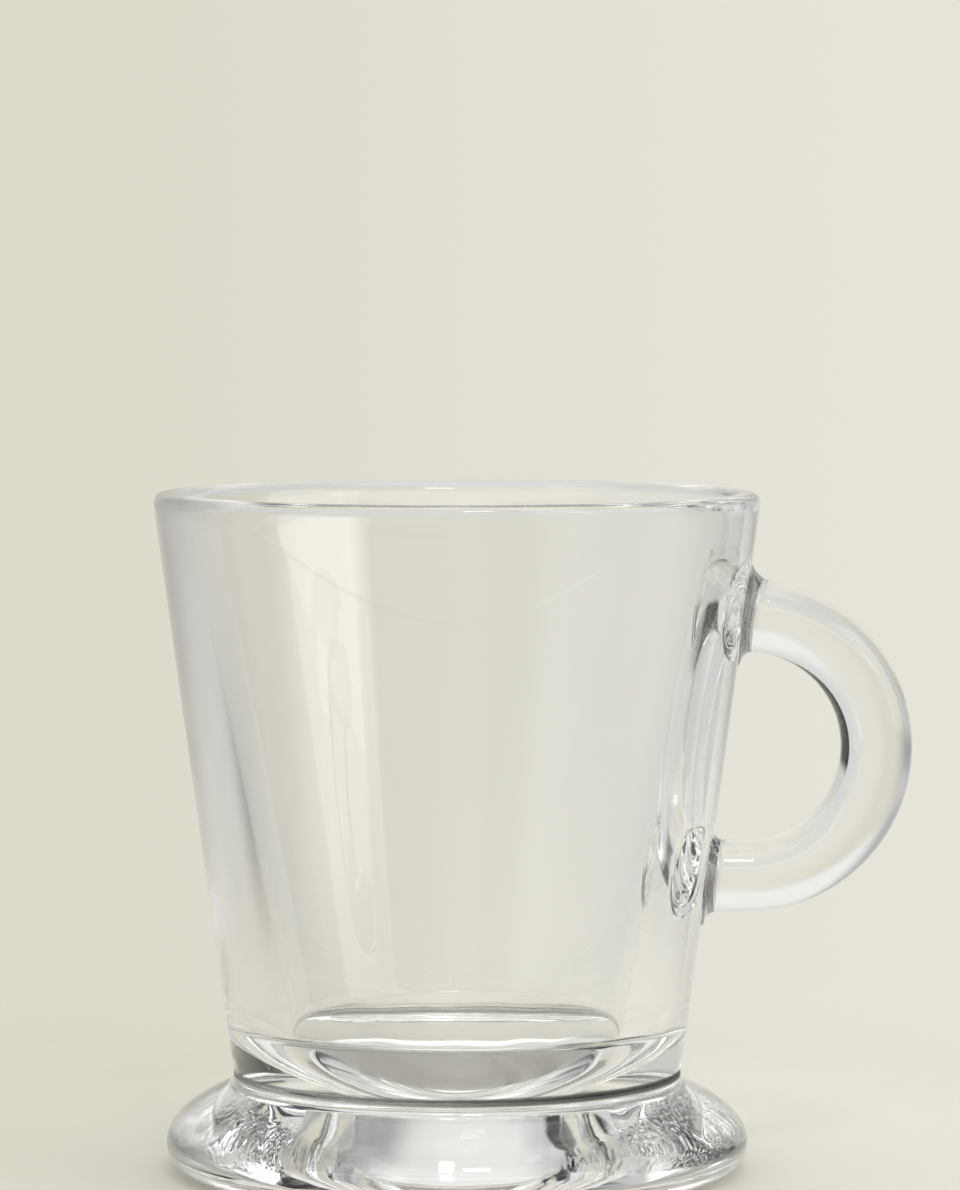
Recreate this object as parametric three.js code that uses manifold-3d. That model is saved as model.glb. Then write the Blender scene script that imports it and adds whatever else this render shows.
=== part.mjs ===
// A glass espresso cup: a conical bowl fused to a domed foot, with a half-ring handle on its side.
// Sizes are in millimetres. +Z is up and +X points to the handle.
// The origin is on the bowl's axis, in the plane that stands on the table.
import * as THREE from "three";
import { mergeVertices } from "three/addons/utils/BufferGeometryUtils.js";
import Module from "manifold-3d";

// Foot: a domed disc with a short collar on top and a hollow underneath.
const footRadius = 28.95; // widest circle of the disc
const edgeRun = 4.45; // from the widest circle in to the bearing ring
const edgeRise = 3.0; // from the table up to the widest circle
const domeRise = 5.8; // from the widest circle up to the collar
const domeFall = 0.41; // slope of the dome where it leaves the collar
const collarRadius = 22.3;
const collarHeight = 1.2;
const bearingWidth = 3.5; // ring that stands on the table
const hollowRise = 3.6; // of the round hollow inside that ring
const seamRound = 0.35; // rounding above and below the seam, which leaves a fine groove
const seatRadius = 18.0; // round seat in the top of the foot, which takes the bowl's belly
const seatDepth = 4.0;

// Bowl: two cones, so the wall grows thicker towards the base, and a dished floor.
const bowlHeight = 57.6; // from the seam to the rim
const rimRadius = 30.2; // outer cone carried up to the rim plane
const rimWall = 2.95; // wall in the rim plane, before the lip is rounded
const lipOuter = 0.9; // rounding of the lip outside
const lipInner = 1.5; // rounding of the lip inside
const floorRise = 4.7; // from the seam up to the edge of the floor
const floorWall = 6.2; // wall at the height of that edge
const floorRound = 1.6; // corner between the floor and the wall
const floorDepth = 6.4; // from that edge down to the middle of the dish

// Handle: a half ring whose two arms run straight into the wall.
const ringRise = 32.3; // from the seam up to the centre of the half ring
const ringOffset = 2.0; // from the wall out to that centre
const ringRadius = 12.95; // from that centre to the middle of the bar
const barThickness = 7.1; // bar across the ring
const barDepth = 8.0; // bar along Y
const barFullness = 2.4; // power of the section's oval: 2 is an ellipse, more is squarer
const rootFillet = 1.4; // concave rounding where an arm meets the wall
const crownFillet = 2.8; // the same on top of the upper arm, where the glass is drawn up the wall
const weldGap = 0.3; // clearance between the arms' ends and the wall

// Facets
const turnSteps = 72; // round the axis
const arcSteps = 5; // in each rounded corner of a profile
const footSteps = 8; // in each curve of the foot
const dishSteps = 7; // in the floor, the seat and the hollow
const barSides = 24; // round the bar
const barSteps = 52; // along the bar

// Heights and places that follow from the sizes.
const collarBottom = edgeRise + domeRise;
const seamHeight = collarBottom + collarHeight; // plane on which the bowl is fused to the collar
const rimHeight = seamHeight + bowlHeight;
const floorHeight = seamHeight + floorRise;
const coneSlope = (rimRadius - collarRadius) / bowlHeight;
const coneLean = Math.atan(coneSlope);
const coneRadius = (height) => collarRadius + (height - seamHeight) * coneSlope;
const ringZ = seamHeight + ringRise;
const ringX = coneRadius(ringZ) + ringOffset;

const wasm = await Module();
wasm.setup();

// A profile through corners [radius, height, rounding], with an arc in each corner that has a rounding.
function roundedProfile(corners) {
  const places = corners.map(([radius, height]) => new THREE.Vector2(radius, height));
  return corners.flatMap(([, , rounding], i) => {
    const corner = places[i];
    if (!rounding) return [corner];
    const back = places[i - 1].clone().sub(corner).normalize();
    const ahead = places[i + 1].clone().sub(corner).normalize();
    const halfAngle = Math.acos(back.dot(ahead)) / 2;
    const inwards = back.clone().add(ahead).normalize();
    const centre = corner.clone().addScaledVector(inwards, rounding / Math.sin(halfAngle));
    const start = corner.clone().addScaledVector(back, rounding / Math.tan(halfAngle));
    const turn = Math.sign(ahead.cross(back)) * (Math.PI - 2 * halfAngle);
    const arc = [];
    for (let k = 0; k <= arcSteps; k++) {
      arc.push(start.clone().rotateAround(centre, (turn * k) / arcSteps));
    }
    return arc;
  });
}

// Points of a dish from its middle on the axis out to its edge.
function dish(edgeRadius, edgeHeight, middleHeight) {
  const points = [];
  for (let k = 0; k <= dishSteps; k++) {
    const share = k / dishSteps;
    const height = THREE.MathUtils.lerp(middleHeight, edgeHeight, share ** 2);
    points.push(new THREE.Vector2(edgeRadius * share, height));
  }
  return points;
}

// The face on which the bowl and the foot are fused, from the axis out to the seam.
const seat = dish(seatRadius, seamHeight, seamHeight - seatDepth);

// A profile of radii and heights turned about the Z axis.
function turned(profile) {
  return new THREE.LatheGeometry(profile, turnSteps).rotateX(Math.PI / 2);
}

// A closed skin over rings with the same number of points, with a fan across each end.
function lofted(rings) {
  const sides = rings[0].length;
  const last = (rings.length - 1) * sides;
  const faces = [];
  for (let i = 0; i < last; i += sides) {
    for (let k = 0; k < sides; k++) {
      const a = i + k;
      const b = i + ((k + 1) % sides);
      faces.push(a, b + sides, b, a, a + sides, b + sides);
    }
  }
  for (let k = 1; k + 1 < sides; k++) {
    faces.push(0, k, k + 1, last, last + k + 1, last + k);
  }
  return new THREE.BufferGeometry().setFromPoints(rings.flat()).setIndex(faces);
}

// A geometry as a solid that can be cut.
function solidOf(geometry) {
  const bare = geometry.clone().deleteAttribute("normal").deleteAttribute("uv");
  const merged = mergeVertices(bare);
  return new wasm.Manifold(
    new wasm.Mesh({
      numProp: 3,
      vertProperties: merged.attributes.position.array,
      triVerts: new Uint32Array(merged.index.array),
    }),
  );
}

// A solid as a geometry again.
function geometryOf(solid) {
  const mesh = solid.getMesh();
  const geometry = new THREE.BufferGeometry();
  geometry.setAttribute("position", new THREE.BufferAttribute(mesh.vertProperties, 3));
  geometry.setIndex(new THREE.BufferAttribute(mesh.triVerts, 1));
  geometry.computeVertexNormals();
  return geometry;
}

// The hollow, the bearing ring, the rounded edge, the dome, the collar up to the seam and the seat.
function footGeometry() {
  const bearingRadius = footRadius - edgeRun;
  const edge = new THREE.QuadraticBezierCurve(
    new THREE.Vector2(bearingRadius, 0),
    new THREE.Vector2(footRadius, 0),
    new THREE.Vector2(footRadius, edgeRise),
  );
  const dome = new THREE.QuadraticBezierCurve(
    new THREE.Vector2(footRadius, edgeRise),
    new THREE.Vector2(footRadius, collarBottom - domeFall * (footRadius - collarRadius)),
    new THREE.Vector2(collarRadius, collarBottom),
  );
  const collar = roundedProfile([
    [collarRadius, collarBottom],
    [collarRadius, seamHeight, seamRound],
    [seatRadius, seamHeight],
  ]);
  return turned([
    ...dish(bearingRadius - bearingWidth, 0, hollowRise),
    ...edge.getPoints(footSteps),
    ...dome.getPoints(footSteps).slice(1),
    ...collar.slice(1),
    ...seat.slice(0, -1).reverse(),
  ]);
}

// The belly in the seat, the outer cone, the rounded lip, the inner cone and the dished floor.
function bowlGeometry() {
  const innerRim = rimRadius - rimWall;
  const innerFloor = coneRadius(floorHeight) - floorWall;
  const floor = dish(innerFloor, floorHeight, floorHeight - floorDepth).reverse();
  const wall = roundedProfile([
    [seatRadius, seamHeight],
    [collarRadius, seamHeight, seamRound],
    [rimRadius, rimHeight, lipOuter],
    [innerRim, rimHeight, lipInner],
    [innerFloor, floorHeight, floorRound],
    [floor[1].x, floor[1].y],
  ]);
  return turned([...seat, ...wall.slice(1, -1), ...floor.slice(1)]);
}

// How far a root's fillet stands out from the bar at a distance from the wall.
function filletAt(distance, fillet) {
  const left = THREE.MathUtils.clamp(fillet - distance, 0, fillet);
  return fillet - Math.sqrt(fillet ** 2 - left ** 2);
}

// One ring of the bar's oval section round a middle point, flared where it comes near the wall.
// The angle gives the direction out of the half ring, in the XZ plane.
function barRing(middleX, middleZ, angle) {
  const oval = (value) => Math.sign(value) * Math.abs(value) ** (2 / barFullness);
  const place = (across, along) =>
    new THREE.Vector3(middleX + across * Math.cos(angle), along, middleZ + across * Math.sin(angle));
  const ring = [];
  for (let k = 0; k < barSides; k++) {
    const turn = (2 * Math.PI * k) / barSides;
    const across = (oval(Math.cos(turn)) * barThickness) / 2;
    const along = (oval(Math.sin(turn)) * barDepth) / 2;
    const bare = place(across, along);
    const wallDistance = (Math.hypot(bare.x, bare.y) - coneRadius(bare.z)) * Math.cos(coneLean);
    const crown = Math.max(0, Math.sin(angle) * Math.cos(turn)) ** 2;
    const fillet = THREE.MathUtils.lerp(rootFillet, crownFillet, crown);
    const flare = 1 + filletAt(wallDistance, fillet) / Math.hypot(across, along);
    ring.push(place(across * flare, along * flare));
  }
  return ring;
}

// Length of an arm from the half ring to inside the wall, where the whole flared end is hidden.
function armLength(height) {
  const wall = coneRadius(height);
  const halfHeight = barThickness / 2 + crownFillet;
  const halfDepth = barDepth / 2 + rootFillet;
  const curve = wall - Math.sqrt(wall ** 2 - halfDepth ** 2);
  return ringX - wall + halfHeight * coneSlope + curve + weldGap;
}

// The bar carried along the upper arm, the half ring and the lower arm, then trimmed to the wall.
function handleGeometry() {
  const upperArm = armLength(ringZ + ringRadius);
  const lowerArm = armLength(ringZ - ringRadius);
  const halfRing = Math.PI * ringRadius;
  const length = upperArm + halfRing + lowerArm;
  const rings = [];
  for (let i = 0; i <= barSteps; i++) {
    // The rings stand closer together near the roots, where the bar flares.
    const share = (2 * Math.PI * i) / barSteps;
    const run = (length * (share - 0.75 * Math.sin(share))) / (2 * Math.PI);
    const round = THREE.MathUtils.clamp(run - upperArm, 0, halfRing);
    const angle = Math.PI / 2 - round / ringRadius;
    const inwards = Math.max(upperArm - run, run - upperArm - halfRing, 0);
    const middleX = ringX + ringRadius * Math.cos(angle) - inwards;
    const middleZ = ringZ + ringRadius * Math.sin(angle);
    rings.push(barRing(middleX, middleZ, angle));
  }
  const gap = weldGap / Math.cos(coneLean);
  const wall = turned([
    new THREE.Vector2(0, seamHeight),
    new THREE.Vector2(coneRadius(seamHeight) + gap, seamHeight),
    new THREE.Vector2(coneRadius(rimHeight) + gap, rimHeight),
    new THREE.Vector2(0, rimHeight),
  ]);
  return geometryOf(solidOf(lofted(rings)).subtract(solidOf(wall)));
}

// A named piece of clear glass.
function glassMesh(name, geometry) {
  const glass = new THREE.MeshStandardMaterial({
    color: 0xdadcd8,
    roughness: 0.04,
    metalness: 0,
    transparent: true,
    opacity: 0.35,
  });
  const mesh = new THREE.Mesh(geometry, glass);
  mesh.name = name;
  return mesh;
}

const cup = new THREE.Group();
cup.add(glassMesh("bowl", bowlGeometry()));
cup.add(glassMesh("foot", footGeometry()));
cup.add(glassMesh("handle", handleGeometry()));

export default cup;
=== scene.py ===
# %% [markdown]
# # A glass espresso cup
# This lesson builds a small clear cup from three pieces of glass: a bowl, a foot and a handle.
# The packed model is loaded first. It is the fixed frame that each piece has to fit, so its box is kept here and
# printed at the end beside the box of the finished pieces.

# %% Load the frame
import math
import random

import bmesh
import bpy
from mathutils import Matrix, Vector, noise


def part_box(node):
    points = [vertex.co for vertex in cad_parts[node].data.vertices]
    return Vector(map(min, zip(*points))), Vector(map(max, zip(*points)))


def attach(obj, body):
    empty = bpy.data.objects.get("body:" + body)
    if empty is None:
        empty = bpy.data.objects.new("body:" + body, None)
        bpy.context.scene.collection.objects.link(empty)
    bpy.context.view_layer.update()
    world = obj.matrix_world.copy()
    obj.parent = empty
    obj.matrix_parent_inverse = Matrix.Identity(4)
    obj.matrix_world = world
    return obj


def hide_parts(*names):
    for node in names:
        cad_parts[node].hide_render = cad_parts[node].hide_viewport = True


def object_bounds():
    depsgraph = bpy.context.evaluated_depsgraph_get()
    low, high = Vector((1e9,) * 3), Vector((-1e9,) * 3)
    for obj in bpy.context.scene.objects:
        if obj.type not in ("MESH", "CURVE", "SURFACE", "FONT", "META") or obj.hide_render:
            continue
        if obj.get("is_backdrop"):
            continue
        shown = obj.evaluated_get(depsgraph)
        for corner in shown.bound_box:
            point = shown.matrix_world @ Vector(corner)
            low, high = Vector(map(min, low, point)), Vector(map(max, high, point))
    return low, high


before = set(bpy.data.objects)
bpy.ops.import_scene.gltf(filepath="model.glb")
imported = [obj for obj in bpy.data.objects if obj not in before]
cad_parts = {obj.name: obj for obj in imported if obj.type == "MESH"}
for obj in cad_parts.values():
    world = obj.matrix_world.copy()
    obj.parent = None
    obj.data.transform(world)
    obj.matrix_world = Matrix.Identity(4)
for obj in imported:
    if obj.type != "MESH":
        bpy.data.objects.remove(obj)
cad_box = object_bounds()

MM = 0.001
for node in sorted(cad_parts):
    low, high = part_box(node)
    print(node, [round(v / MM, 2) for v in (*low, *high)], "mm")

# %% [markdown]
# ## The camera
# The cup is seen from a little above its rim, with the handle to the right. A short lens close by would make
# its walls lean more, so a long lens is used from further away: it keeps them almost as straight as they are.

# %% Camera
LENS = 162.2
SENSOR = 36.0
CAMERA_PLACE = (0.00227, -0.531, 0.0912)
LOOK_DOWN = 3.65
camera_data = bpy.data.cameras.new("camera")
camera_data.lens = LENS
camera_data.sensor_width = SENSOR
camera = bpy.data.objects.new("camera", camera_data)
camera.location = CAMERA_PLACE
camera.rotation_euler = (math.radians(90 - LOOK_DOWN), 0, 0)
bpy.context.scene.collection.objects.link(camera)
bpy.context.scene.camera = camera
print("camera at", tuple(round(v, 4) for v in camera.location))

# %% [markdown]
# ## Turned glass
# Bowl and foot come out of round moulds, so each of them is one outline turned about the cup's axis.
# A mesh circle could be extruded ring by ring, but spinning a drawn outline keeps the real sections readable.
# Fire polishing rounds the corners of pressed glass, so the outline gets an arc in each corner that asks for one.

# %% Outlines


def rounded(corners, steps=12):
    """Points of an outline through corners of radius, height and, where it has one, rounding."""
    places = [Vector(corner[:2]) for corner in corners]
    points = []
    for i, (place, corner) in enumerate(zip(places, corners)):
        if len(corner) < 3:
            points.append(place)
            continue
        back = (places[i - 1] - place).normalized()
        ahead = (places[i + 1] - place).normalized()
        half = back.angle(ahead) / 2
        centre = place + (back + ahead).normalized() * corner[2] / math.sin(half)
        start = place + back * corner[2] / math.tan(half) - centre
        turn = math.copysign(math.pi - 2 * half, ahead.x * back.y - ahead.y * back.x)
        points += [centre + Matrix.Rotation(turn * k / steps, 2) @ start for k in range(steps + 1)]
    return points


def curve(start, towards, end, steps):
    """Points of a curve from start to end that is drawn towards a third point."""
    start, towards, end = Vector(start), Vector(towards), Vector(end)
    shares = [k / steps for k in range(steps + 1)]
    return [start.lerp(towards, t).lerp(towards.lerp(end, t), t) for t in shares]


def dish(edge_radius, edge_height, middle_height, steps):
    """Points of a dish from its middle on the axis out to its edge."""
    rise = edge_height - middle_height
    shares = [k / steps for k in range(steps + 1)]
    return [Vector((edge_radius * t, middle_height + rise * t * t)) for t in shares]


def split(points, longest):
    """The same outline with no step longer than a length."""
    out = [points[0]]
    for a, b in zip(points, points[1:]):
        count = max(1, math.ceil((b - a).length / longest))
        out += [a.lerp(b, (k + 1) / count) for k in range(count)]
    return out


print("points of a rounded corner", len(rounded([(0, 0), (1, 0, 0.2), (1, 1)])) - 2)

# %% Spin
SAME_POINT = 1e-7


def turned(points, steps):
    """A bmesh of the outline spun about the Z axis, closed and facing out."""
    bm = bmesh.new()
    verts = [bm.verts.new((p.x, 0, p.y)) for p in points]
    edges = [bm.edges.new(pair) for pair in zip(verts, verts[1:])]
    bmesh.ops.spin(
        bm, geom=verts + edges, cent=(0, 0, 0), axis=(0, 0, 1), dvec=(0, 0, 0),
        angle=2 * math.pi, steps=steps, use_merge=True,
    )
    bmesh.ops.remove_doubles(bm, verts=bm.verts, dist=SAME_POINT)
    bmesh.ops.recalc_face_normals(bm, faces=bm.faces)
    bm.normal_update()
    return bm


def piece(name, bm):
    """A new object at the origin that holds the bmesh."""
    mesh = bpy.data.meshes.new(name)
    bm.to_mesh(mesh)
    bm.free()
    mesh.shade_smooth()
    made = bpy.data.objects.new(name, mesh)
    bpy.context.scene.collection.objects.link(made)
    print(name, len(mesh.vertices), "vertices,", len(mesh.polygons), "faces")
    return made


print("points are merged under", SAME_POINT / MM, "mm")

# %% [markdown]
# ## The waves in pressed glass
# A hot gob is pressed between a mould and a plunger, and where the metal chills it the skin sets in faint waves.
# They are thousandths of a millimetre deep on the walls, and up to a tenth at the edge of the floor,
# yet they bend every line that is seen through the glass. A bump in the material alone would leave the mesh
# perfectly smooth, so the points themselves are moved along their normals.

# %% Waves


def wave(place, length, seed):
    """A smooth chance value between about -1 and 1 that changes over a length."""
    return noise.noise(place / length + Vector((seed, 2.3 * seed, 3.7 * seed)))


def hill(value, middle, width):
    """1 at the middle, falling smoothly to 0 at a width on either side."""
    share = min(abs(value - middle) / width, 1)
    return (1 - share * share) ** 2


print("a wave beside the origin", round(wave(Vector((1 * MM, 0, 0)), 4 * MM, seed=1), 3))

# %% [markdown]
# ## The bowl
# The bowl is a cone with a wall that grows thicker downwards. The plunger is round at its end, so the floor is
# a deep dish. It makes the lens-like lights in the base: seen from the side, light is thrown back at its underside.
# The bowl is fused to the foot at a fine groove. The belly under the dish lies in a seat in the foot.

# %% Bowl sizes
COLLAR_RADIUS = 22.3 * MM
COLLAR_BOTTOM = 8.8 * MM
SEAM = 10.0 * MM
SEAM_ROUND = 0.35 * MM
SEAT_RADIUS = 18.0 * MM
SEAT_MIDDLE = SEAM - 4.0 * MM
RIM = 67.6 * MM
RIM_RADIUS = 30.2 * MM
RIM_WALL = 2.95 * MM
INNER_RIM = RIM_RADIUS - RIM_WALL
LIP_OUTER = 0.97 * MM
LIP_INNER = 1.5 * MM
FLOOR_EDGE = SEAM + 4.7 * MM
FLOOR_MIDDLE = FLOOR_EDGE - 6.4 * MM
FLOOR_WALL = 6.2 * MM
FLOOR_ROUND = 1.6 * MM
CONE_SLOPE = (RIM_RADIUS - COLLAR_RADIUS) / (RIM - SEAM)
CONE_LEAN = math.atan(CONE_SLOPE)


def cone_radius(height):
    """Outer radius of the bowl at a height."""
    return COLLAR_RADIUS + (height - SEAM) * CONE_SLOPE


def seat_height(radius):
    """Height of the face on which the bowl and the foot are fused."""
    share = min(radius / SEAT_RADIUS, 1)
    return SEAT_MIDDLE + (SEAM - SEAT_MIDDLE) * share * share


def wall_distance(place):
    """Distance of a point from the bowl's outer wall."""
    return (math.hypot(place.x, place.y) - cone_radius(place.z)) * math.cos(CONE_LEAN)


FLOOR_RADIUS = cone_radius(FLOOR_EDGE) - FLOOR_WALL
print("floor edge", round(FLOOR_RADIUS / MM, 2), "mm out,", round(FLOOR_EDGE / MM, 2), "mm up")

# %% Bowl turned
SEAT_STEPS = 10
FLOOR_STEPS = 36
WALL_STEP = 1.2 * MM
BOWL_TURNS = 360
seat = dish(SEAT_RADIUS, SEAM, SEAT_MIDDLE, SEAT_STEPS)
floor_dish = dish(FLOOR_RADIUS, FLOOR_EDGE, FLOOR_MIDDLE, FLOOR_STEPS)[::-1]
wall = rounded([
    (SEAT_RADIUS, SEAM),
    (COLLAR_RADIUS, SEAM, SEAM_ROUND),
    (RIM_RADIUS, RIM, LIP_OUTER),
    (INNER_RIM, RIM, LIP_INNER),
    (FLOOR_RADIUS, FLOOR_EDGE, FLOOR_ROUND),
    tuple(floor_dish[2]),
])
bowl_mesh = turned(seat + split(wall[1:-1], WALL_STEP) + floor_dish[2:], BOWL_TURNS)
print("bowl outline", len(wall), "points")

# %% Bowl pressed
SEAT_SKIN = 0.4 * MM
WALL_SKIN = 0.5 * MM
OUTER_WAVE, OUTER_LENGTH = 0.004 * MM, 9 * MM
INNER_WAVE, INNER_LENGTH = 0.006 * MM, 7 * MM
EDGE_WAVE, EDGE_LENGTH = 0.09 * MM, 4.2 * MM
EDGE_MIDDLE, EDGE_WIDTH = FLOOR_EDGE - 0.6 * MM, 2.2 * MM
for v in bowl_mesh.verts:
    radius = math.hypot(v.co.x, v.co.y)
    if v.co.z < seat_height(radius) + SEAT_SKIN:
        continue
    if wall_distance(v.co) > -WALL_SKIN:
        depth = OUTER_WAVE * (wave(v.co, OUTER_LENGTH, seed=1) - 1)
    else:
        depth = INNER_WAVE * (wave(v.co, INNER_LENGTH, seed=2) - 1)
        depth += EDGE_WAVE * hill(v.co.z, EDGE_MIDDLE, EDGE_WIDTH) * wave(v.co, EDGE_LENGTH, seed=3)
    v.co += v.normal * depth
bowl = piece("cup_bowl", bowl_mesh)

# %% [markdown]
# ## The foot
# The foot is a domed disc with a short collar on top. Underneath it is hollow, and it stands on a narrow bearing ring.
# The hollow throws the light of the room back at the viewer, which makes the foot the whitest part of the cup.
# The ring is stippled, so that small chips don't show, and the stipple carries on into the hollow beside it.
# A bump would do from above, but it would vanish at a flat angle, so each point there is raised by chance.

# %% Foot sizes
FOOT_RADIUS = 28.95 * MM
EDGE_RISE = 3.0 * MM
BEARING_OUTER = FOOT_RADIUS - 4.45 * MM
BEARING_INNER = BEARING_OUTER - 3.5 * MM
HOLLOW_RISE = 3.6 * MM
DOME_FULLNESS = 0.41
DOME_TOWARDS = COLLAR_BOTTOM - DOME_FULLNESS * (FOOT_RADIUS - COLLAR_RADIUS)
print("bearing ring from", round(BEARING_INNER / MM, 2), "to", round(BEARING_OUTER / MM, 2), "mm")

# %% Foot turned
HOLLOW_STEPS = 42
HOLLOW_PLAIN = 34
STIPPLE_STEP = 0.2 * MM
EDGE_STEPS = 14
DOME_STEPS = 22
GROOVE_STEPS = 8
FOOT_TURNS = 720
hollow = dish(BEARING_INNER, 0, HOLLOW_RISE, HOLLOW_STEPS)
ring = [Vector((BEARING_INNER, 0)), Vector((BEARING_OUTER, 0))]
edge = curve((BEARING_OUTER, 0), (FOOT_RADIUS, 0), (FOOT_RADIUS, EDGE_RISE), EDGE_STEPS)
dome = curve(
    (FOOT_RADIUS, EDGE_RISE), (FOOT_RADIUS, DOME_TOWARDS), (COLLAR_RADIUS, COLLAR_BOTTOM), DOME_STEPS,
)
collar = rounded(
    [(COLLAR_RADIUS, COLLAR_BOTTOM), (COLLAR_RADIUS, SEAM, SEAM_ROUND), (SEAT_RADIUS, SEAM)], GROOVE_STEPS,
)
foot_outline = hollow[:HOLLOW_PLAIN:2] + split(hollow[HOLLOW_PLAIN:], STIPPLE_STEP)
foot_outline += split(ring, STIPPLE_STEP)[1:] + edge[1:] + dome[1:] + collar[1:] + seat[-2::-1]
foot_mesh = turned(foot_outline, FOOT_TURNS)
print("foot outline", len(foot_outline), "points")

# %% Foot pressed
SEAT_EDGE = COLLAR_RADIUS - 0.1 * MM
DOME_START = EDGE_RISE + 0.5 * MM
DOME_WAVE, DOME_LENGTH = 0.010 * MM, 3.5 * MM
HOLLOW_WAVE, HOLLOW_LENGTH = 0.012 * MM, 3.1 * MM
RING_STIPPLE = 0.03 * MM
HOLLOW_STIPPLE = 0.05 * MM
BAND_MIDDLE, BAND_WIDTH = 19.2 * MM, 2.0 * MM
grain = random.Random(7)
for v in foot_mesh.verts:
    chance = grain.random()
    radius = math.hypot(v.co.x, v.co.y)
    if v.co.z > seat_height(radius) - SEAT_SKIN and radius < SEAT_EDGE:
        continue
    if v.normal.z < 0 and radius < BEARING_OUTER:
        v.co.z += RING_STIPPLE * chance * (radius > BEARING_INNER)
        v.co.z += HOLLOW_STIPPLE * chance * hill(radius, BAND_MIDDLE, BAND_WIDTH)
        v.co.z += HOLLOW_WAVE * (wave(v.co, HOLLOW_LENGTH, seed=5) + 1) * (radius < BEARING_INNER)
    elif v.co.z > DOME_START:
        v.co += v.normal * DOME_WAVE * (wave(v.co, DOME_LENGTH, seed=8) - 1)
foot = piece("cup_foot", foot_mesh)

# %% [markdown]
# ## The handle
# The handle is a half ring of thick oval bar. A curve with a bevel could give the ring, but not its roots, so the
# section is drawn once and spun half a turn about the ring's centre. Its open ends are then drawn on into the wall
# in short steps, and the skin that comes near the wall is swelled, because molten glass flows into a concave
# fillet there. On top of the upper arm it is drawn up higher than elsewhere.

# %% Handle sizes
RING_Z = SEAM + 32.3 * MM
RING_X = cone_radius(RING_Z) + 2.0 * MM
RING_RADIUS = 12.95 * MM
BAR_THICKNESS = 7.09 * MM
BAR_DEPTH = 8.0 * MM
BAR_FULLNESS = 2.4
ROOT_FILLET = 1.4 * MM
CROWN_FILLET = 2.8 * MM
INTO_WALL = 1.7 * MM


def oval(value):
    """Coordinate on the bar's section, which is a little squarer than an ellipse."""
    return math.copysign(abs(value) ** (2 / BAR_FULLNESS), value)


def draw_end(bm, loop, reach, steps):
    """Carries an open end of the bar towards the wall in short steps and closes it."""
    for _ in range(steps):
        made = bmesh.ops.extrude_edge_only(bm, edges=loop)["geom"]
        moved = {g for g in made if isinstance(g, bmesh.types.BMVert)}
        bmesh.ops.translate(bm, verts=list(moved), vec=(-reach / steps, 0, 0))
        loop = [g for g in made if isinstance(g, bmesh.types.BMEdge) and moved.issuperset(g.verts)]
    bmesh.ops.holes_fill(bm, edges=loop, sides=0)


print("ring centre", round(RING_X / MM, 2), round(RING_Z / MM, 2), "mm")

# %% Handle
BAR_SIDES = 64
RING_STEPS = 120
UPPER_STEPS, LOWER_STEPS = 12, 24
bar = bmesh.new()
section = bmesh.ops.create_circle(bar, segments=BAR_SIDES, radius=1.0)["verts"]
for v in section:
    across, along = oval(v.co.x) * BAR_THICKNESS / 2, oval(v.co.y) * BAR_DEPTH / 2
    v.co = (RING_X, along, RING_Z + RING_RADIUS + across)
upper_end = list(bar.edges)
spun = bmesh.ops.spin(
    bar, geom=section + upper_end, cent=(RING_X, 0, RING_Z), axis=(0, 1, 0), dvec=(0, 0, 0),
    angle=math.pi, steps=RING_STEPS, use_merge=False,
)["geom_last"]
lower_end = [g for g in spun if isinstance(g, bmesh.types.BMEdge)]
draw_end(bar, upper_end, RING_X - cone_radius(RING_Z + RING_RADIUS) + INTO_WALL, UPPER_STEPS)
draw_end(bar, lower_end, RING_X - cone_radius(RING_Z - RING_RADIUS) + INTO_WALL, LOWER_STEPS)
print("bar", len(bar.verts), "vertices")

# %% Roots of the handle
BAR_LENGTH = 6 * MM
EASE_OVER = 4 * MM
bmesh.ops.recalc_face_normals(bar, faces=bar.faces)
bar.normal_update()
for v in bar.verts:
    side = math.copysign(1, v.co.z - RING_Z)
    out = Vector((0, v.co.y, v.co.z - RING_Z - side * RING_RADIUS))
    crown = max(0, side * out.normalized().z) ** 2 if side > 0 else 0
    fillet = ROOT_FILLET + (CROWN_FILLET - ROOT_FILLET) * crown
    left = fillet - max(wall_distance(v.co), 0)
    if left > 0:
        v.co += out.normalized() * (fillet - math.sqrt(fillet**2 - left**2))
    else:
        ease = min(-left / EASE_OVER, 1)
        v.co += v.normal * OUTER_WAVE * ease * ease * (wave(v.co, BAR_LENGTH, seed=9) - 1)
reach = [v.co.x / MM for v in bar.verts]
print("bar from x", round(min(reach), 2), "to", round(max(reach), 2), "mm")
handle = piece("cup_handle", bar)

# %% [markdown]
# ## Shader maths
# The materials and the studio are node trees. Long chains of nodes are hard to read as calls,
# so one small class wraps a socket: sums and products with it add Math nodes, and one method adds any other node.

# %% Sockets as values


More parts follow.
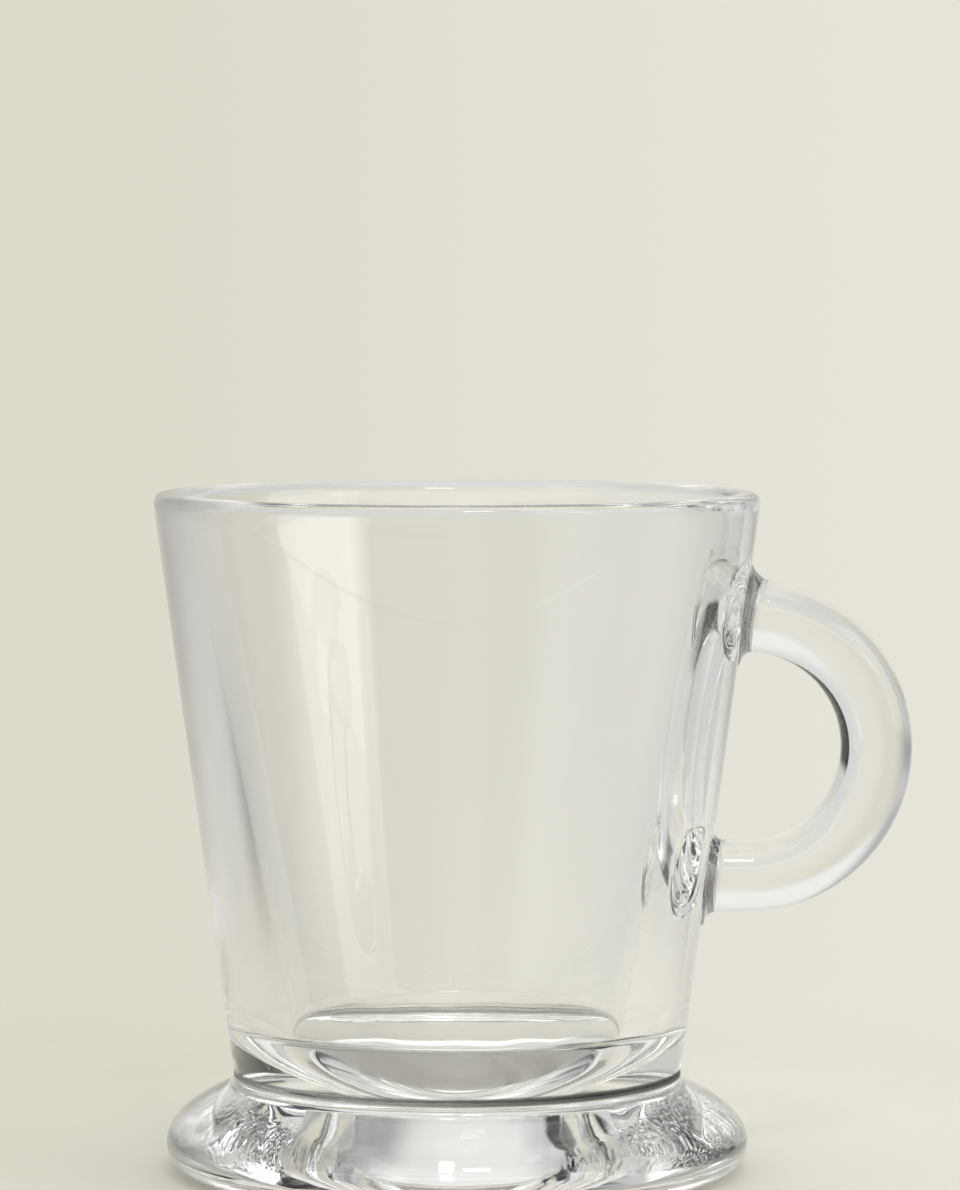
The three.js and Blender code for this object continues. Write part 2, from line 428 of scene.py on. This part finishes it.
class Wire:
    """A socket of a node tree that can stand in an expression."""

    def __init__(self, tree, socket=None):
        self.tree, self.socket = tree, socket

    def node(self, kind, settings=None, sockets=None, out=0):
        """Adds a node, sets it up, then gives its sockets their values or links."""
        made = self.tree.nodes.new("ShaderNode" + kind)
        for name, value in (settings or {}).items():
            setattr(made, name, value)
        for name, value in (sockets or {}).items():
            if isinstance(value, Wire):
                self.tree.links.new(value.socket, made.inputs[name])
            else:
                made.inputs[name].default_value = value
        return Wire(self.tree, made.outputs[out] if made.outputs else None)

    def maths(self, operation, *values):
        """Adds a Math node on values or links."""
        return self.node("Math", {"operation": operation}, dict(enumerate(values)))

    def __add__(self, other):
        return self.maths("ADD", self, other)

    def __sub__(self, other):
        return self.maths("SUBTRACT", self, other)

    def __rsub__(self, other):
        return self.maths("SUBTRACT", other, self)

    def __mul__(self, other):
        return self.maths("MULTIPLY", self, other)

    __radd__ = __add__
    __rmul__ = __mul__

    def between(self, low, high):
        """0 at the first value and 1 at the second, with a soft start and end."""
        return self.node(
            "MapRange", {"interpolation_type": "SMOOTHSTEP"},
            {"Value": self, "From Min": low, "From Max": high},
        )

    def blend(self, first, second):
        """The first colour where this value is 0 and the second where it is 1."""
        colours = [c if isinstance(c, Wire) else (*c, 1) for c in (first, second)]
        return self.node("Mix", {"data_type": "RGBA"}, {0: self, 6: colours[0], 7: colours[1]}, 2)


def new_tree(owner):
    """The emptied node tree of a material or a world, as a value to start from."""
    owner.use_nodes = True
    owner.node_tree.nodes.clear()
    return Wire(owner.node_tree)


print("a Wire can", [name for name in vars(Wire) if not name.startswith("_")])

# %% [markdown]
# ## Painted shade
# Fire polishing makes most of the skin clear. Shade is painted as grey into the groove at the neck, where it gathers in
# the crease, and onto a band of the stipple under the foot, which lies close over the floor, darkest in grains in one
# spot. The side away from the handle has a thicker film, because it is the one that fingers touch. Such places could be
# painted on the points, but masks of the Object coordinates are sharper and can be read: each is 1 in its place and 0
# elsewhere.

# %% Masks
GROOVE_HALF = (0.55 * MM, 0.28 * MM)
GROOVE_RADIUS = (21.3 * MM, 21.7 * MM)
SHADE_INNER = (17.4 * MM, 18.2 * MM)
SHADE_OUTER = (20.9 * MM, 20.3 * MM)
SHADE_TOP = (2.0 * MM, 1.6 * MM)
SPOT_ACROSS = (14.8 * MM, 16.6 * MM)
SPOT_ALONG = (-8.6 * MM, -6.6 * MM)
GRAIN_LENGTH = 0.32 * MM
TOUCHED = (-21 * MM, -26 * MM)


def around(place):
    """The places across and along, the height and the distance from the axis of a point on a piece."""
    across, along, up = (place.node("SeparateXYZ", None, {0: place}, axis) for axis in "XYZ")
    flat = place.node("VectorMath", {"operation": "MULTIPLY"}, {0: place, 1: (1, 1, 0)})
    return across, along, up, place.node("VectorMath", {"operation": "LENGTH"}, {0: flat}, "Value")


# Painted shade: the groove is made grey where shade gathers in the crease.
def groove_painted_shade(place):
    """Painted shade in the groove at the neck: up to 1 there, and least at the back and left."""
    across, along, up, radius = around(place)
    line = place.maths("ABSOLUTE", up - SEAM).between(*GROOVE_HALF) * radius.between(*GROOVE_RADIUS)
    rightwards = 0.6 + 0.37 * across.between(-12 * MM, 14 * MM)
    forwards = 1 - 0.7 * along.between(-6 * MM, 6 * MM)
    return line * rightwards * forwards


# Painted shade: the stipple lies close over the floor, so it is made grey there.
def stipple_painted_shade(place):
    """Painted shade on a band of stipple inside the bearing ring, with the darkest grains in one spot."""
    across, along, up, radius = around(place)
    band = radius.between(*SHADE_INNER) * radius.between(*SHADE_OUTER) * up.between(*SHADE_TOP)
    spot = across.between(*SPOT_ACROSS) * along.between(*SPOT_ALONG)
    grains = place.node("TexNoise", None, {"Vector": place, "Scale": 1 / GRAIN_LENGTH, "Detail": 2.0})
    return band * (0.28 + 0.62 * spot * grains.between(0.44, 0.56))


def touched_side(place):
    """1 on the side away from the handle."""
    return around(place)[0].between(*TOUCHED)


print("dull band from", round(SHADE_INNER[0] / MM, 1), "to", round(SHADE_OUTER[0] / MM, 1), "mm")

# %% [markdown]
# ## Clear glass
# Soda-lime glass is almost colourless, with a breath of green where it is thick. Its skin is not perfect:
# fire polishing leaves long soft waves, and handling leaves a thin uneven film that dulls it a little here and there.
# The waves go to Normal through a Bump, the film goes to Roughness and the tint to Base Color.
# Base Color doesn't darken light that the glass throws back whole, so painted shade is mixed in as a grey matt skin.

# %% Glass
IOR = 1.51
CLEAR_TINTS = (0.985, 0.986, 0.983), (0.991, 0.992, 0.989)
# Greys of the painted shade in the groove and on the stipple.
SHADE_GREYS = (0.05, 0.05, 0.048), (0.10, 0.10, 0.096)
SHADE_ROUGHNESS = 0.7
FILM_SCALE = 90.0
TOUCH_FILM = 0.15


def glass(name, wave_length, wave_height, film, shaded=()):
    """Clear glass with waves of a length and height in millimetres, a film of a roughness and places of painted shade.
    """
    made = bpy.data.materials.new(name)
    start = new_tree(made)
    place = start.node("TexCoord", out="Object")
    waves = start.node("TexNoise", None, {"Vector": place, "Scale": 1 / (wave_length * MM), "Detail": 1.5})
    patches = start.node("TexNoise", None, {"Vector": place, "Scale": FILM_SCALE, "Detail": 4.0})
    bent = start.node("Bump", None, {"Height": waves, "Strength": 1.0, "Distance": wave_height * MM}, "Normal")
    skin = start.node("BsdfPrincipled", None, {
        "Base Color": patches.between(0.35, 0.7).blend(*CLEAR_TINTS),
        "Roughness": patches.between(0.45, 0.75) * film + TOUCH_FILM * touched_side(place),
        "Normal": bent, "IOR": IOR, "Transmission Weight": 1.0,
    })
    # Each mask mixes in a grey matt skin as painted shade.
    for mask in shaded:
        grey = patches.between(0.35, 0.7).blend(*SHADE_GREYS)
        matt = start.node("BsdfPrincipled", None, {"Base Color": grey, "Roughness": SHADE_ROUGHNESS})
        skin = start.node("MixShader", None, {"Fac": mask(place), 1: skin, 2: matt})
    start.node("OutputMaterial", None, {"Surface": skin})
    print(name, len(start.tree.nodes), "nodes")
    return made


bowl_glass = glass("bowl_glass", wave_length=6.0, wave_height=0.003, film=0.02, shaded=[groove_painted_shade])
foot_glass = glass("foot_glass", wave_length=2.5, wave_height=0.002, film=0.03, shaded=[groove_painted_shade, stipple_painted_shade])
handle_glass = glass("handle_glass", wave_length=5.0, wave_height=0.003, film=0.02)

# %% [markdown]
# ## Fused seams
# The three pieces are one piece of glass on the real cup, so light passes from one to the next without a mark.
# Joining them into one mesh would do that too, but each piece has to stay a closed mesh of its own. So the faces
# where two of them meet get a material that is fully see-through. A Boolean cuts the handle's root to the wall
# and prints its outline on the bowl, so the two meshes share that edge.

# %% Fused seam
WELD = 1
fused_seam = bpy.data.materials.new("fused_seam")
seam_start = new_tree(fused_seam)
seam_skin = seam_start.node("BsdfPrincipled", None, {"Alpha": 0.0})
seam_start.node("OutputMaterial", None, {"Surface": seam_skin})


def solved(target, tool, operation):
    """The mesh of a Boolean of two pieces. Each face keeps the material slot of the piece it comes from."""
    cut = target.modifiers.new("cut", "BOOLEAN")
    cut.operation = operation
    cut.solver = "EXACT"
    cut.object = tool
    cut.material_mode = "INDEX"
    bpy.context.view_layer.update()
    made = bpy.data.meshes.new_from_object(target.evaluated_get(bpy.context.evaluated_depsgraph_get()))
    target.modifiers.remove(cut)
    return made


for made, skin in ((bowl, bowl_glass), (foot, foot_glass), (handle, handle_glass)):
    made.data.materials.append(skin)
    made.data.materials.append(fused_seam)
for face in handle.data.polygons:
    face.material_index = WELD
joined = solved(bowl, handle, "UNION")
trimmed = solved(handle, bowl, "DIFFERENCE")
print("joined", len(joined.polygons), "faces, trimmed", len(trimmed.polygons), "faces")

# %% Handle cut to the wall
root = bmesh.new()
root.from_mesh(trimmed)
for f in root.faces:
    f.material_index = 1 - f.material_index
root.to_mesh(handle.data)
bmesh.ops.delete(root, geom=[f for f in root.faces if f.material_index != WELD], context="FACES")
bmesh.ops.reverse_faces(root, faces=root.faces)
patch = bpy.data.meshes.new("root_patch")
root.to_mesh(patch)
print("faces on the roots", len(root.faces))
root.free()

# %% Bowl with the roots printed on it
SAME_PLACE = 2e-6
print_on = bmesh.new()
print_on.from_mesh(joined)
bmesh.ops.delete(print_on, geom=[f for f in print_on.faces if f.material_index == WELD], context="FACES")
print_on.from_mesh(patch)
bmesh.ops.remove_doubles(print_on, verts=print_on.verts, dist=SAME_PLACE)
print("open edges of the bowl", sum(e.is_boundary for e in print_on.edges))
print_on.to_mesh(bowl.data)
print_on.free()

# %% Seat
for made in (bowl, foot):
    for face in made.data.polygons:
        places = [made.data.vertices[i].co for i in face.vertices]
        gaps = [abs(p.z - seat_height(math.hypot(p.x, p.y))) for p in places]
        if max(gaps) < SAME_PLACE:
            face.material_index = WELD
    print(made.name, "fused faces", sum(f.material_index == WELD for f in made.data.polygons))

# %% [markdown]
# ## Edges of the fused faces
# Smooth shading averages the normals of all faces at a point. At the rim of a fused face that would tilt the
# clear skin towards a face that nobody sees, and leave a false dimple. Splitting the mesh there would help,
# but it would open it, so the edges between the two materials are marked sharp.

# %% Sharp edges
for made in (bowl, foot, handle):
    skin = bmesh.new()
    skin.from_mesh(made.data)
    for f in skin.faces:
        f.smooth = True
    for e in skin.edges:
        e.smooth = len({f.material_index for f in e.link_faces}) == 1
    skin.to_mesh(made.data)
    print(made.name, "sharp edges", sum(not e.smooth for e in skin.edges))
    skin.free()

# %% [markdown]
# ## The floor
# The cup stands on a pale cream sheet that runs up behind it without an edge.
# A curved backdrop could be modelled, but a flat disc that fades out is simpler: near the cup it takes the shadow,
# and further away it turns see-through, so that the same cream of the surroundings carries on.
# Light is painted into the sheet's colour. It is darker at the left and lighter at the right, as the light falls from
# the right. It is paler round the cup, and palest under it, where the glass gathers the light.

# %% Floor sheet
SHEET_RADIUS = 1.5
SHEET_SIDES = 96
SHEET_DROP = 0.05 * MM
sheet = bmesh.new()
bmesh.ops.create_circle(sheet, cap_ends=True, segments=SHEET_SIDES, radius=SHEET_RADIUS)
bmesh.ops.translate(sheet, verts=sheet.verts, vec=(0, 0, -SHEET_DROP))
floor = piece("floor", sheet)
floor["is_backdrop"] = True

# %% Cream paper
# Painted light and shade: darker cream at the left, lighter at the right, a paler pool round the cup and the palest
# under it.
SHADED_CREAM_LEFT = (0.723, 0.701, 0.604)
LIT_CREAM_RIGHT = (0.791, 0.775, 0.694)
LIT_LEFT = (0.850, 0.827, 0.720)
LIT_RIGHT = (0.885, 0.866, 0.772)
LIGHT_UNDER_CUP = (0.94, 0.92, 0.86)
ACROSS_CUP = (-0.05, 0.05)
LIT_REACH = (0.10, 0.03)
UNDER_REACH = (0.030, 0.022)
FADE_REACH = (0.052, 0.13)
paper = bpy.data.materials.new("cream_paper")
start = new_tree(paper)
place = start.node("TexCoord", out="Object")
reach = start.node("VectorMath", {"operation": "LENGTH"}, {0: place}, "Value")
rightwards = start.node("SeparateXYZ", None, {0: place}, "X").between(*ACROSS_CUP)
colour = rightwards.blend(SHADED_CREAM_LEFT, LIT_CREAM_RIGHT)
colour = reach.between(*LIT_REACH).blend(colour, rightwards.blend(LIT_LEFT, LIT_RIGHT))
colour = reach.between(*UNDER_REACH).blend(colour, LIGHT_UNDER_CUP)
matt = start.node("BsdfPrincipled", None, {"Base Color": colour, "Roughness": 1.0, "Specular IOR Level": 0.0})
clear = start.node("BsdfTransparent")
sheet_skin = start.node("MixShader", None, {"Fac": reach.between(*FADE_REACH), 1: matt, 2: clear})
start.node("OutputMaterial", None, {"Surface": sheet_skin})
floor.data.materials.append(paper)
print("floor", tuple(round(v, 3) for v in floor.dimensions))

# %% [markdown]
# ## The studio
# Glass has no look of its own: it shows what stands around it. Cards could be modelled as planes round the cup,
# but then they would also shade the floor, so the surroundings are built by direction in the world.
# Behind the cup there is cream paper, whiter a little further up. The room beside and behind the camera is grey,
# with pale cards hung in it and dark gaps between them. The cards make the lights in the glass and the gaps its lines.
# The world gives an even light to the floor, while the glass sees the studio by the rays that it bends and throws back.

# %% Directions
world = bpy.data.worlds.new("studio")
bpy.context.scene.world = world
start = new_tree(world)
direction = start.node("TexCoord", out="Generated")
x, y, z = (start.node("SeparateXYZ", None, {0: direction}, axis) for axis in "XYZ")
azimuth = start.maths("DEGREES", start.maths("ARCTAN2", x, y * -1))
height = start.maths("DEGREES", start.maths("ARCSINE", z))
sideways = start.maths("ABSOLUTE", azimuth)


def hung(behind, cards):
    """A colour by direction with cards before it. A card is a colour and soft edges: a value, its start and its end."""
    for colour, first, *others in cards:
        mask = first[0].between(*first[1:])
        for value, begins, ends in others:
            mask = mask * value.between(begins, ends)
        behind = mask.blend(behind, colour)
    return behind


print("azimuth 0 is the camera's side, and positive is right")

# %% Paper behind the cup
# The paper seen behind the cup is painted darker at the left and lighter at the right, as the light falls from the
# right.
CREAM_SPAN = (-0.09, 0.09)
cream = x.between(*CREAM_SPAN).blend(SHADED_CREAM_LEFT, LIT_CREAM_RIGHT)
paper_up = hung(cream, [
    ((0.87, 0.87, 0.85), (height, 4, 12)),
    ((0.72, 0.72, 0.69), (height, 24, 46)),
    ((0.70, 0.70, 0.675), (height, -11, -20)),
])
print("paper", len(start.tree.nodes), "nodes so far")

# %% Room with cards and gaps
LOW_ROOM = (0.40, 0.40, 0.39)
HIGH_ROOM = (0.56, 0.56, 0.55)
room = hung(height.between(-6, 3).blend(LOW_ROOM, HIGH_ROOM), [
    # a pale card in front and one to its left
    ((0.88, 0.88, 0.87), (azimuth, -18, -8), (azimuth, 56, 46), (height, -2, 4), (height, 40, 28)),
    ((0.80, 0.80, 0.78), (azimuth, -36, -42), (azimuth, -64, -56), (height, -6, 2), (height, 44, 30)),
    # a bright strip that lights the inside of the bowl below its rim
    ((2.0, 2.0, 1.92), (sideways, 66, 54), (height, 18.8, 20.2), (height, 28, 25)),
    # the table on both sides, with a dark gap at the left that draws the streak in that wall
    ((0.64, 0.63, 0.59), (sideways, 76, 92), (height, -4, -12)),
    ((0.24, 0.24, 0.24), (azimuth, -104, -114), (azimuth, -142, -126), (height, -17, -21.5), (height, -30, -25)),
    # a bright card low at the left, which the wall shows as its broad pale strip
    ((2.05, 2.05, 1.98), (azimuth, -37, -41), (azimuth, -84, -64), (height, -40, -32), (height, -7, -11)),
    # gaps at the left and right, and paper again behind the right one
    ((0.42, 0.42, 0.42), (azimuth, -104, -118), (height, 4, 12)),
    ((0.008, 0.008, 0.008), (azimuth, 92, 97), (height, -16, -10), (height, 56, 44)),
    ((0.70, 0.70, 0.69), (azimuth, 141, 144)),
    # a dark gap high up on both sides
    ((0.08, 0.08, 0.09), (sideways, 48, 60), (sideways, 152, 140), (height, 42, 48), (height, 66, 60)),
])
print("room", len(start.tree.nodes), "nodes so far")

# %% Surroundings
EVEN_LIGHT = (0.86, 0.86, 0.85)
PAPER_EDGE = (168, 150)
studio = hung(sideways.between(*PAPER_EDGE).blend(paper_up, room), [
    # a bright cloth over the front left, and a paler one overhead
    ((1.30, 1.30, 1.24), (azimuth, -84, -66), (azimuth, 30, 14), (height, 26, 38)),
    ((1.5, 1.5, 1.42), (height, 62, 72)),
])
path = {kind: start.node("LightPath", out=f"Is {kind} Ray") for kind in ("Camera", "Glossy", "Transmission")}
bent = start.maths("MAXIMUM", path["Glossy"], path["Transmission"])
light = path["Camera"].blend(bent.blend(EVEN_LIGHT, studio), cream)
background = start.node("Background", None, {"Color": light, "Strength": 1.0})
start.node("OutputWorld", None, {"Surface": background})
print("studio", len(start.tree.nodes), "nodes")

# %% [markdown]
# ## The lamps
# A large softbox stands to the right and a little in front: it lights the sheet and gives the cup its soft shadow.
# A small square lamp high beside the camera gives the little sparks on the rim, the floor and the handle.
# Point lamps would make specks, and area lamps show as the small panes that real lamps leave in glass.
# An area lamp's brightness is its power over its area and pi, so the power is worked out from the brightness.

# %% Lamps
LAMP_AIM = Vector((0, 0, 0.04))


def softbox(name, side, distance, up, width, tall, brightness):
    """A square lamp round the cup, aimed at its middle. Side 0 is the camera's, and positive is right."""
    data = bpy.data.lights.new(name, "AREA")
    data.shape = "RECTANGLE"
    data.size, data.size_y = width, tall
    data.energy = brightness * math.pi * width * tall
    lamp = bpy.data.objects.new(name, data)
    turn = math.radians(side)
    lamp.location = (distance * math.sin(turn), -distance * math.cos(turn), up)
    lamp.rotation_euler = (LAMP_AIM - lamp.location).to_track_quat("-Z", "Y").to_euler()
    lamp.visible_camera = False
    bpy.context.scene.collection.objects.link(lamp)
    print(name, "power", round(data.energy, 2), "W")


softbox("key_softbox", side=70, distance=1.0, up=0.46, width=0.89, tall=0.86, brightness=1.15)
softbox("spark_lamp", side=10, distance=0.75, up=0.95, width=0.20, tall=0.20, brightness=8.0)

# %% [markdown]
# ## View and bounces
# Light goes through many skins of glass before it reaches the camera, so more bounces are allowed than usual.
# Mirror bounces are kept to about half of them: with fewer the rim turns too dark, and with more the light
# that runs on inside the wall makes the handle's roots too white.

# %% View
BOUNCES = 64
MIRROR_BOUNCES = 36
scene = bpy.context.scene
scene.view_settings.view_transform = "Standard"
scene.cycles.max_bounces = BOUNCES
scene.cycles.transmission_bounces = BOUNCES
scene.cycles.glossy_bounces = MIRROR_BOUNCES
scene.cycles.transparent_max_bounces = BOUNCES
print("bounces", scene.cycles.max_bounces)

# %% [markdown]
# ## Tying the pieces to the frame
# Each piece rides on the one body of the cup and takes the place of its solid. The two boxes are printed, so that the
# sizes of the solids and of the finished pieces can be compared.

# %% Frame ties
for made, node in ((bowl, "bowl"), (foot, "foot"), (handle, "handle")):
    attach(made, "root")
    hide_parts(node)

# %% Sizes
visual_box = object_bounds()
boxes = {
    "cad": [[float(v) for v in corner] for corner in cad_box],
    "visual": [[float(v) for v in corner] for corner in visual_box],
}
for name, corners in boxes.items():
    print(name, [[round(v / MM, 3) for v in corner] for corner in corners])
